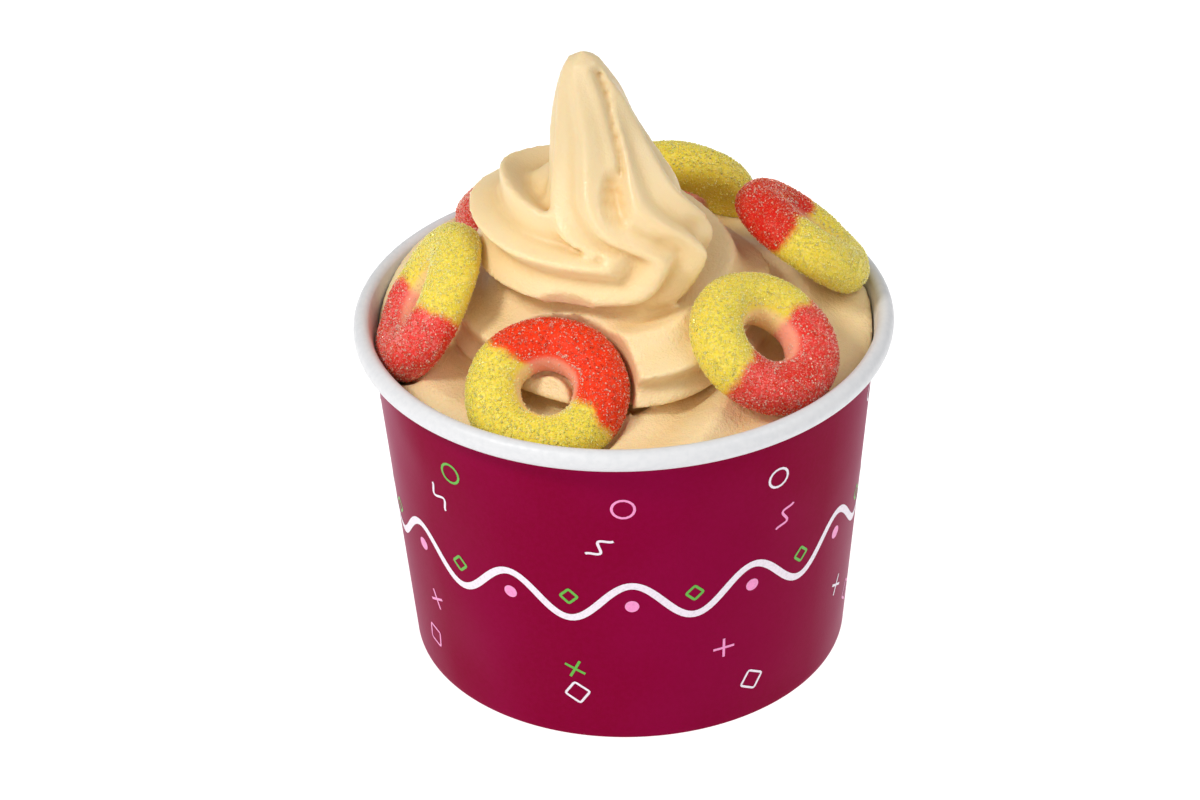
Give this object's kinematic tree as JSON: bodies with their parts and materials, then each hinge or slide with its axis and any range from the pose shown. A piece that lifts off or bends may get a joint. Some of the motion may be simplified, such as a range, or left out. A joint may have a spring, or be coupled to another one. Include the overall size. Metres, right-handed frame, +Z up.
{
  "type": "frozen yogurt cup",
  "caption": "Paper cup of swirled frozen yogurt drawn up to a soft point, with sugared two-coloured gummy rings laid round the swirl.",
  "frame": {"origin": "centre of the cup's foot, on the table", "axes": "+Z up along the cup's axis, -Y towards the side the picture shows"},
  "size_m": [0.115, 0.115, 0.1401],
  "materials": {
    "printed_paper": "coated paper board, satin",
    "white_paper": "coated paper board, satin",
    "frozen_yogurt": "soft-served frozen yogurt, moist",
    "sugared_gummy": "gelatine sweet coated in sugar grains"
  },
  "bodies": {
    "root": {"cup_wall": "printed_paper", "cup_base": "white_paper", "frozen_yogurt": "frozen_yogurt", "ring_front_left": "sugared_gummy", "ring_front_right": "sugared_gummy", "ring_left": "sugared_gummy", "ring_right_back": "sugared_gummy", "ring_back_right": "sugared_gummy", "ring_back_left": "sugared_gummy"}
  },
  "joints": []
}
